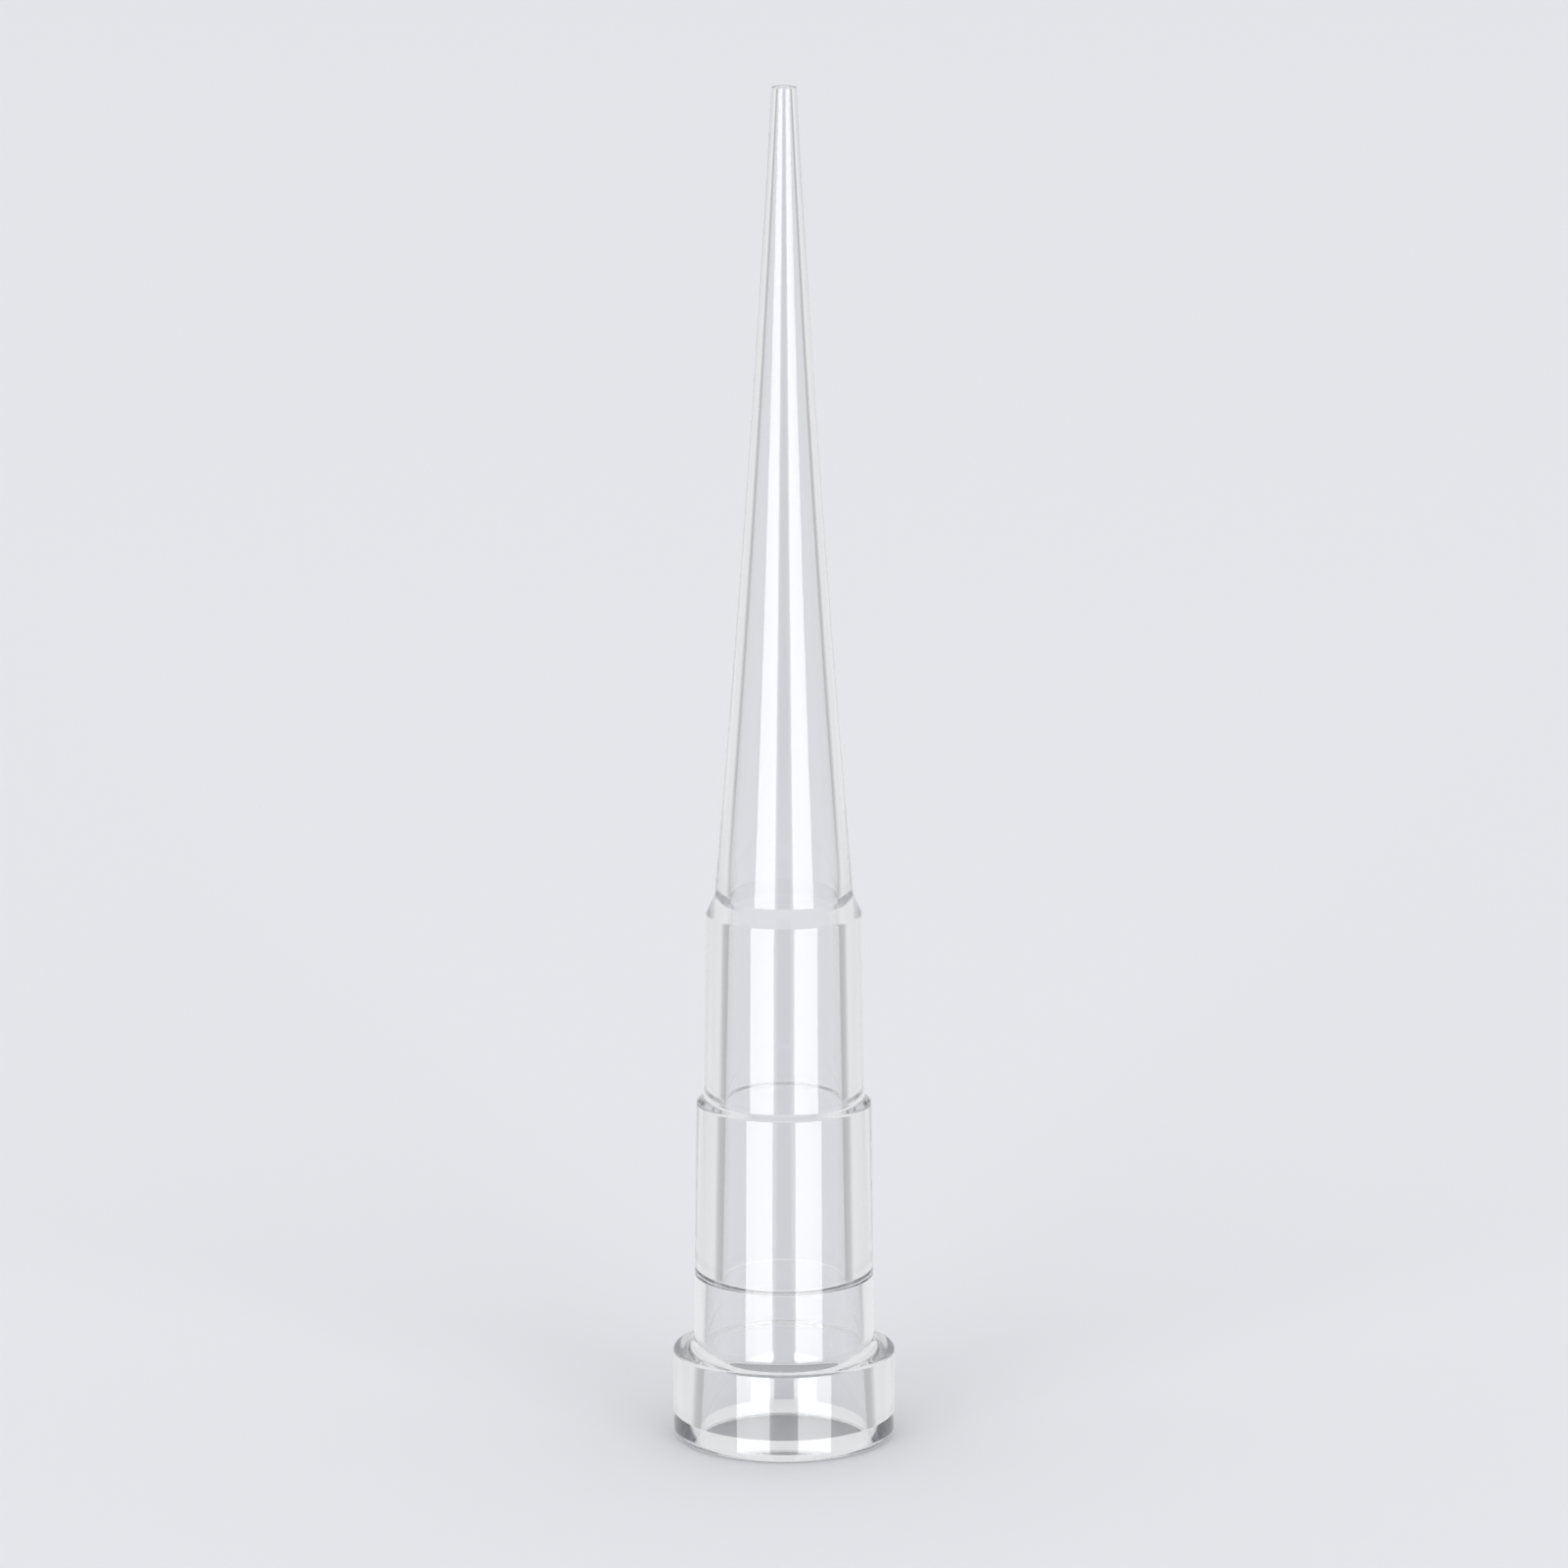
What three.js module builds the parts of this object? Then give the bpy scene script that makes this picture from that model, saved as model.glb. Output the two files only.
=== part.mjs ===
// Pipette tip, 200 microlitre size: one thin-walled moulding in clear polypropylene, open at both ends.
// Units are millimetres. The tip stands on its mouth rim with the point up: the rim lies in the plane z = 0
// and +Z is the axis of every surface.

import * as THREE from 'three';

// ---------- Driving dimensions ----------

const tipLength = 51;              // mouth rim to the open end of the point

// Socket that the pipette's nose cone is pushed into
const seatDiameter = 5.6;          // bore at the bottom of the socket
const socketDepth = 6.2;           // mouth rim to the ledge
const socketDraft = 3;             // degrees, opening towards the mouth
const leadInDepth = 0.7;           // chamfer at the mouth
const leadInWidth = 0.35;
const ledgeWidth = 0.5;            // ring that stops the nose cone
const ledgeRound = 0.12;

// Collar round the mouth: a pipette's ejector pushes on its rim, and a rack carries its underside
const collarLength = 3.4;
const collarHeight = 0.78;         // radial, above the body
const rimRound = 0.36;
const collarEdgeRound = 0.12;
const collarFillet = 0.4;

// Body, in two lengths with an outward shoulder at the end of each
const seatWall = 0.55;             // beside the ledge
const bodyDraft = 0.7;             // degrees
const upperBodyLength = 9.5;       // collar to first shoulder
const lowerBodyLength = 7.2;       // first shoulder to second
const firstShoulderStep = 0.28;    // radial
const firstShoulderLength = 0.15;
const secondShoulderStep = 0.32;
const secondShoulderLength = 0.7;
const shoulderRound = 0.12;
const shoulderFillet = 0.25;

// Channel from the ledge through the body, and the long taper of the point
const channelDraft = 1.1;          // degrees
const boreTaperDelay = 1.2;        // end of the second shoulder to where the bore starts its long taper
const pointBore = 0.46;
const pointWall = 0.22;
const pointRound = 0.06;
const taperHollow = 0.12;          // how far the long taper dips inside a straight cone, halfway along

// ---------- Smoothness ----------

const facetsRound = 48;
const degreesPerArcStep = 20;
const taperSteps = 10;

// ---------- Stations along the axis, and radii at a station ----------

const degree = Math.PI / 180;
const draw = (length, draft) => length * Math.tan(draft * degree);

const firstShoulder = collarLength + upperBodyLength;
const firstShoulderEnd = firstShoulder + firstShoulderLength;
const secondShoulder = firstShoulder + lowerBodyLength;
const secondShoulderEnd = secondShoulder + secondShoulderLength;
const boreTaperStart = secondShoulderEnd + boreTaperDelay;

const seatRadius = seatDiameter / 2;
const socketRadius = z => seatRadius + draw(socketDepth - z, socketDraft);
const channelRadius = z => seatRadius - ledgeWidth - draw(z - socketDepth, channelDraft);

const upperBodyRadius = z => seatRadius + seatWall - draw(z - socketDepth, bodyDraft);
const lowerBodyRadius = z => upperBodyRadius(z) - firstShoulderStep;
const collarRadius = upperBodyRadius(collarLength) + collarHeight;
const rimInnerRadius = socketRadius(leadInDepth) + leadInWidth;

// ---------- Profile ----------

const corner = (radius, z, round = 0) => ({ at: new THREE.Vector2(radius, z), round });

// The arc that rounds a corner, tangent to the edges on both sides and kept within half of each edge
function roundedCorner(before, { at, round }, after) {
  const back = before.at.clone().sub(at);
  const onward = after.at.clone().sub(at);
  const halfOpening = back.angleTo(onward) / 2;
  const turn = Math.PI - 2 * halfOpening;
  if (round === 0 || turn < degree) return [at];

  const tangentLength = Math.min(round / Math.tan(halfOpening), back.length() / 2, onward.length() / 2);
  const radius = tangentLength * Math.tan(halfOpening);
  const turnsLeft = Math.sign(onward.cross(back));
  const start = at.clone().addScaledVector(back.normalize(), tangentLength);
  const bisector = back.add(onward.normalize()).normalize();
  const centre = at.clone().addScaledVector(bisector, radius / Math.sin(halfOpening));
  const spoke = start.sub(centre);

  const steps = Math.ceil(turn / (degreesPerArcStep * degree));
  return Array.from({ length: steps + 1 }, (_, step) =>
    spoke.clone().rotateAround(new THREE.Vector2(), turnsLeft * turn * step / steps).add(centre));
}

// The corners between the ends of a long taper: a parabola that lies taperHollow inside the cone halfway
function hollowTaper(from, to) {
  const control = from.at.clone().lerp(to.at, 0.5);
  control.x -= 2 * taperHollow;
  const curve = new THREE.QuadraticBezierCurve(from.at, control, to.at);
  return curve.getPoints(taperSteps).slice(1, -1).map(point => corner(point.x, point.y));
}

const taperRootRadius = lowerBodyRadius(secondShoulder) - secondShoulderStep;
const taperRoot = corner(taperRootRadius, secondShoulderEnd, shoulderFillet);
const pointEdge = corner(pointBore / 2 + pointWall, tipLength, pointRound);
const pointMouth = corner(pointBore / 2, tipLength);
const boreTaperRoot = corner(channelRadius(boreTaperStart), boreTaperStart);

const corners = [
  corner(rimInnerRadius, 0),
  corner(collarRadius, 0, rimRound),
  corner(collarRadius, collarLength, collarEdgeRound),
  corner(upperBodyRadius(collarLength), collarLength, collarFillet),
  corner(upperBodyRadius(firstShoulder), firstShoulder, shoulderRound),
  corner(lowerBodyRadius(firstShoulderEnd), firstShoulderEnd, shoulderRound),
  corner(lowerBodyRadius(secondShoulder), secondShoulder, shoulderFillet),
  taperRoot,
  ...hollowTaper(taperRoot, pointEdge),
  pointEdge,
  pointMouth,
  ...hollowTaper(pointMouth, boreTaperRoot),
  boreTaperRoot,
  corner(channelRadius(socketDepth), socketDepth, ledgeRound),
  corner(seatRadius, socketDepth, ledgeRound),
  corner(socketRadius(leadInDepth), leadInDepth),
];

const profile = corners.flatMap((item, index) =>
  roundedCorner(corners.at(index - 1), item, corners[(index + 1) % corners.length]));
profile.push(profile[0]);

// ---------- The part ----------

const clearPolypropylene = new THREE.MeshStandardMaterial({
  color: 0xdde3e8,
  roughness: 0.12,
  metalness: 0,
  transparent: true,
  opacity: 0.35,
});

// A lathe turns its profile about Y, so the tip is laid over to bring its axis to +Z
const tipGeometry = new THREE.LatheGeometry(profile, facetsRound).rotateX(Math.PI / 2);
const tip = new THREE.Mesh(tipGeometry, clearPolypropylene);
tip.name = 'pipette_tip';

const part = new THREE.Group();
part.add(tip);

export default part;
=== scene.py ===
"""Clear polypropylene pipette tip, standing on its mouth rim in a plain studio.

Lengths are metres, in the row frame: the mouth rim lies in z = 0 and +Z is the tip's axis. The camera is on
the -Y side.
"""
import math

import bmesh
import bpy
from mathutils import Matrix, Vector
from mathutils.geometry import interpolate_bezier


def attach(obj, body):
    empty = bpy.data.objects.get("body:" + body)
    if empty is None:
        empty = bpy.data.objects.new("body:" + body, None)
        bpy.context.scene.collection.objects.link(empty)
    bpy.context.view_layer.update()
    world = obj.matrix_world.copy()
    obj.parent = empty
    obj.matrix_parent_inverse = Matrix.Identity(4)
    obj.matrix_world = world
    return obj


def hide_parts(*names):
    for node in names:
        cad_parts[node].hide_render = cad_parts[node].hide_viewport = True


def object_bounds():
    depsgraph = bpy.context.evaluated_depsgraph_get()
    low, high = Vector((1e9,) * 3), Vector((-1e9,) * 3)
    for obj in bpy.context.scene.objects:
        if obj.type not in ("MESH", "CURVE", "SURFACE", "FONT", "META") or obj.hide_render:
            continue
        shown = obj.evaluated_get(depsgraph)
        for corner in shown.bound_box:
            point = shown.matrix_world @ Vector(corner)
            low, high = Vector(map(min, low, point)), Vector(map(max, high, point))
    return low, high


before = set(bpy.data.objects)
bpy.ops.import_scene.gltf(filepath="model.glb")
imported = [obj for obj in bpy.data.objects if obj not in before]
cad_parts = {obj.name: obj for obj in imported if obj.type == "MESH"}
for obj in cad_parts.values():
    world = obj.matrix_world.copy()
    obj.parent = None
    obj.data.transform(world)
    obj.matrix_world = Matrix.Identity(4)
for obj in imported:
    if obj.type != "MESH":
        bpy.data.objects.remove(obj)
cad_low, cad_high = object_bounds()

NODE = "pipette_tip"
TIP_HEIGHT = cad_high.z - cad_low.z

# ---------- Values: the tip's surface ----------

SAME_POINT = 1e-6
FACETS_ROUND = 256
SHARP_CORNER = math.radians(22)     # the CAD section's rounded corners turn less than this at each point
ARC_STEP = math.radians(3)          # most that the finer outline turns at a point of a gentle corner

# ---------- Values: the plastic ----------

SURFACE_TINT = (0.965, 0.967, 0.97, 1)
REFRACTIVE_INDEX = 1.49
DEPTH_TINT = (0.876, 0.884, 0.89, 1)
DEPTH_TINT_DENSITY = 120            # per metre
POLISH = (0.02, 0.06)               # lowest and highest roughness
POLISH_NOISE = (0.3, 0.7)           # noise levels that give them
DRAW_MARKS_PER_METRE = 2500
DRAW_MARK_STRETCH = 0.04            # scale of the marks' noise along the tip
DRAW_MARK_OCTAVES = 3
DRAW_MARK_DEPTH = 4e-7

# ---------- Values: the studio ----------

FLOOR_RADIUS = 6.0
FLOOR_SIDES = 96
FLOOR_GAP = 0.00002                 # keeps the floor and the rim's face from lying in one plane
FLOOR_COLOUR = (0.815, 0.825, 0.85, 1)
FLOOR_ROUGHNESS = 0.9
FLOOR_SPECULAR = 0.1

LAMP_AZIMUTH = 32.5                 # degrees to either side of the camera
LAMP_ELEVATION = -3
LAMP_DISTANCE = 5
LAMP_WIDTH = 3.15
LAMP_HEIGHT = 4.1
LAMP_RADIANCE = 6.3

CARD_DISTANCE = 5.2
CARD_HALF_WIDTH = 1.25
CARD_HALF_HEIGHT = 2.2
CARD_COLOUR = (0.02, 0.02, 0.02, 1)

STUDIO_TINT = (0.98, 0.985, 1, 1)
STUDIO_LEVEL = 0.86
FLAT_LEVEL = 0.5
FLAT_ANGLE = math.radians(63.4)     # from the Y axis, to either side
FLAT_HEART = math.radians(10)       # half the width of a flat's even middle
FLAT_EDGE = math.radians(27)        # half its width with its soft edges

CAMERA_LENS = 200                   # millimetres, as the sensor
CAMERA_SENSOR = 36
CAMERA_ELEVATION = math.radians(12)
CAMERA_AIM = Vector((0, 0, TIP_HEIGHT * 0.49))
CAMERA_CLIP = (0.01, 10)
FRAME_HEIGHT = TIP_HEIGHT * 1.14

LIGHT_BOUNCES = 64                  # inside the wall, light is mirrored again and again before it gets out


# ---------- Shape ----------

def cad_section(node):
    """The closed outline that the CAD node is turned from: its cut by the plane y = 0, on the +X side."""
    mesh = bmesh.new()
    mesh.from_mesh(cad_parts[node].data)
    bmesh.ops.remove_doubles(mesh, verts=mesh.verts, dist=SAME_POINT)
    whole = mesh.verts[:] + mesh.edges[:] + mesh.faces[:]
    bmesh.ops.bisect_plane(mesh, geom=whole, dist=SAME_POINT, plane_co=(0, 0, 0), plane_no=(0, 1, 0))
    cut = {v for v in mesh.verts if abs(v.co.y) < SAME_POINT and v.co.x > 0}
    first = min(cut, key=lambda v: (v.co.z, v.co.x))
    outline = [first]
    before = None
    while True:
        here = outline[-1]
        beside = [edge.other_vert(here) for edge in here.link_edges]
        onward = [v for v in beside if v in cut and v is not before]
        after = max(onward, key=lambda v: v.co.x)
        if after is first:
            break
        outline.append(after)
        before = here
    points = [v.co.copy() for v in outline]
    mesh.free()
    return points


def finer(section):
    """The outline with a smooth curve through its gentle corners. Sharp corners stay as they are."""
    count = len(section)
    fine = []
    sharp = []
    for i in range(count):
        before, here, after, beyond = (section[(i + k) % count] for k in (-1, 0, 1, 2))
        edge = after - here
        here_sharp = (here - before).angle(edge) > SHARP_CORNER
        after_sharp = edge.angle(beyond - after) > SHARP_CORNER
        leaving = edge if here_sharp else after - before
        arriving = edge if after_sharp else beyond - here
        reach = edge.length / 3
        handle_out = here + leaving.normalized() * reach
        handle_in = after - arriving.normalized() * reach
        steps = max(1, math.ceil((leaving.angle(edge) + edge.angle(arriving)) / ARC_STEP))
        curve = interpolate_bezier(here, handle_out, handle_in, after, steps + 1)
        fine.extend(curve[:-1])
        sharp.extend([here_sharp] + [False] * (steps - 1))
    return fine, sharp


def turned(name, section):
    """A closed mesh made by turning the outline about Z, with its sharp corners marked as sharp edges."""
    points, sharp = finer(section)
    rings = len(points)
    verts = []
    faces = []
    for k in range(FACETS_ROUND):
        angle = 2 * math.pi * k / FACETS_ROUND
        verts.extend((p.x * math.cos(angle), p.x * math.sin(angle), p.z) for p in points)
        here = k * rings
        beside = (k + 1) % FACETS_ROUND * rings
        for i in range(rings):
            j = (i + 1) % rings
            faces.append((here + i, beside + i, beside + j, here + j))
    mesh = bpy.data.meshes.new(name)
    mesh.from_pydata(verts, [], faces)
    mesh.update()
    mesh.shade_smooth()
    for edge in mesh.edges:
        a, b = edge.vertices
        if a % rings == b % rings and sharp[a % rings]:
            edge.use_edge_sharp = True
    return mesh


def flat_face(name, corners):
    """A mesh of one face."""
    mesh = bpy.data.meshes.new(name)
    mesh.from_pydata(corners, [], [range(len(corners))])
    mesh.update()
    return mesh


def placed(name, data):
    """An object at the origin, linked to the scene."""
    made = bpy.data.objects.new(name, data)
    bpy.context.scene.collection.objects.link(made)
    return made


# ---------- Materials ----------

def node_material(name):
    """A new material with its nodes, its links and its shader."""
    material = bpy.data.materials.new(name)
    material.use_nodes = True
    nodes = material.node_tree.nodes
    return material, nodes, material.node_tree.links, nodes["Principled BSDF"]


def set_inputs(node, values):
    for socket, value in values.items():
        node.inputs[socket].default_value = value


def set_ranges(node, source, target):
    """The two ranges of a Map Range node."""
    node.inputs["From Min"].default_value = source[0]
    node.inputs["From Max"].default_value = source[1]
    node.inputs["To Min"].default_value = target[0]
    node.inputs["To Max"].default_value = target[1]


def clear_polypropylene():
    """Polished natural polypropylene, with faint lengthwise draw marks from its mould."""
    material, nodes, links, shader = node_material("clear_polypropylene")
    set_inputs(shader, {"Base Color": SURFACE_TINT, "Transmission Weight": 1, "IOR": REFRACTIVE_INDEX})
    place = nodes.new("ShaderNodeTexCoord")
    along = nodes.new("ShaderNodeMapping")
    along.inputs["Scale"].default_value = (1, 1, DRAW_MARK_STRETCH)
    marks = nodes.new("ShaderNodeTexNoise")
    set_inputs(marks, {"Scale": DRAW_MARKS_PER_METRE, "Detail": DRAW_MARK_OCTAVES})
    polish = nodes.new("ShaderNodeMapRange")
    set_ranges(polish, POLISH_NOISE, POLISH)
    relief = nodes.new("ShaderNodeBump")
    set_inputs(relief, {"Strength": 1, "Distance": DRAW_MARK_DEPTH})
    depth = nodes.new("ShaderNodeVolumeAbsorption")
    set_inputs(depth, {"Color": DEPTH_TINT, "Density": DEPTH_TINT_DENSITY})
    links.new(place.outputs["Object"], along.inputs["Vector"])
    links.new(along.outputs["Vector"], marks.inputs["Vector"])
    links.new(marks.outputs["Fac"], polish.inputs["Value"])
    links.new(polish.outputs["Result"], shader.inputs["Roughness"])
    links.new(marks.outputs["Fac"], relief.inputs["Height"])
    links.new(relief.outputs["Normal"], shader.inputs["Normal"])
    links.new(depth.outputs["Volume"], nodes["Material Output"].inputs["Volume"])
    return material


def floor_paint():
    """Pale paint. What a surface of the tip mirrors is the studio round it, and not the floor."""
    material, nodes, links, paint = node_material("floor_paint")
    set_inputs(paint, {"Base Color": FLOOR_COLOUR, "Roughness": FLOOR_ROUGHNESS,
                       "Specular IOR Level": FLOOR_SPECULAR})
    path = nodes.new("ShaderNodeLightPath")
    mirrored = nodes.new("ShaderNodeMath")
    mirrored.operation = "GREATER_THAN"
    mirrored.inputs[1].default_value = 0.5      # between no mirror on the light's path and one
    clear = nodes.new("ShaderNodeBsdfTransparent")
    mix = nodes.new("ShaderNodeMixShader")
    links.new(path.outputs["Glossy Depth"], mirrored.inputs[0])
    links.new(mirrored.outputs["Value"], mix.inputs["Fac"])
    links.new(paint.outputs["BSDF"], mix.inputs[1])
    links.new(clear.outputs["BSDF"], mix.inputs[2])
    links.new(mix.outputs["Shader"], nodes["Material Output"].inputs["Surface"])
    return material


def black_card():
    material, _, _, shader = node_material("black_card")
    set_inputs(shader, {"Base Color": CARD_COLOUR, "Roughness": 1})
    return material


# ---------- The tip ----------

def build_tip():
    tip = placed("clear_tip", turned("clear_tip", cad_section(NODE)))
    tip.data.materials.append(clear_polypropylene())
    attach(tip, "root")
    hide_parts(NODE)


# ---------- Studio ----------

def build_floor():
    angles = [2 * math.pi * k / FLOOR_SIDES for k in range(FLOOR_SIDES)]
    corners = [(FLOOR_RADIUS * math.cos(a), FLOOR_RADIUS * math.sin(a), -FLOOR_GAP) for a in angles]
    floor = placed("floor", flat_face("floor", corners))
    floor.data.materials.append(floor_paint())


def build_lamp(name, azimuth):
    """A soft box that faces the middle of the tip. It shows in what the tip mirrors, and not through it."""
    aim = Vector((0, 0, TIP_HEIGHT / 2))
    a = math.radians(azimuth)
    e = math.radians(LAMP_ELEVATION)
    towards = Vector((math.sin(a) * math.cos(e), -math.cos(a) * math.cos(e), math.sin(e)))
    light = bpy.data.lights.new(name, "AREA")
    light.shape = "RECTANGLE"
    light.size = LAMP_WIDTH
    light.size_y = LAMP_HEIGHT
    light.energy = LAMP_RADIANCE * math.pi * LAMP_WIDTH * LAMP_HEIGHT
    lamp = placed(name, light)
    lamp.location = aim + towards * LAMP_DISTANCE
    lamp.rotation_euler = towards.to_track_quat("Z", "Y").to_euler()
    lamp.visible_camera = False
    lamp.visible_transmission = False


def build_dark_card():
    """A black card behind the camera, which draws the dark line between the two bright streaks."""
    corners = [(x * CARD_HALF_WIDTH, -CARD_DISTANCE, z * CARD_HALF_HEIGHT)
               for x, z in ((-1, -1), (1, -1), (1, 1), (-1, 1))]
    card = placed("dark_card", flat_face("dark_card", corners))
    card.data.materials.append(black_card())
    card.visible_camera = False
    card.visible_diffuse = False
    card.visible_shadow = False


def build_world():
    """A pale studio with four darker flats round it, which draw the dark lines in the tip's wall."""
    world = bpy.data.worlds.new("studio")
    bpy.context.scene.world = world
    world.use_nodes = True
    nodes = world.node_tree.nodes
    links = world.node_tree.links
    background = nodes["Background"]
    background.inputs["Color"].default_value = STUDIO_TINT
    direction = nodes.new("ShaderNodeTexCoord")
    quarter = nodes.new("ShaderNodeVectorMath")
    quarter.operation = "ABSOLUTE"
    nearness = nodes.new("ShaderNodeVectorMath")
    nearness.operation = "DOT_PRODUCT"
    nearness.inputs[1].default_value = (math.sin(FLAT_ANGLE), math.cos(FLAT_ANGLE), 0)
    level = nodes.new("ShaderNodeMapRange")
    level.interpolation_type = "SMOOTHSTEP"
    set_ranges(level, (math.cos(FLAT_EDGE), math.cos(FLAT_HEART)), (STUDIO_LEVEL, FLAT_LEVEL))
    links.new(direction.outputs["Generated"], quarter.inputs[0])
    links.new(quarter.outputs["Vector"], nearness.inputs[0])
    links.new(nearness.outputs["Value"], level.inputs["Value"])
    links.new(level.outputs["Result"], background.inputs["Strength"])


def build_camera():
    back = Vector((0, -math.cos(CAMERA_ELEVATION), math.sin(CAMERA_ELEVATION)))
    data = bpy.data.cameras.new("camera")
    data.lens = CAMERA_LENS
    data.sensor_width = CAMERA_SENSOR
    data.clip_start, data.clip_end = CAMERA_CLIP
    camera = placed("camera", data)
    camera.location = CAMERA_AIM + back * FRAME_HEIGHT * CAMERA_LENS / CAMERA_SENSOR
    camera.rotation_euler = back.to_track_quat("Z", "Y").to_euler()
    bpy.context.scene.camera = camera


def set_render():
    scene = bpy.context.scene
    scene.view_settings.view_transform = "Standard"
    scene.cycles.max_bounces = LIGHT_BOUNCES
    scene.cycles.glossy_bounces = LIGHT_BOUNCES
    scene.cycles.transmission_bounces = LIGHT_BOUNCES


build_camera()
build_tip()
build_floor()
build_lamp("strip_left", -LAMP_AZIMUTH)
build_lamp("strip_right", LAMP_AZIMUTH)
build_dark_card()
build_world()
set_render()
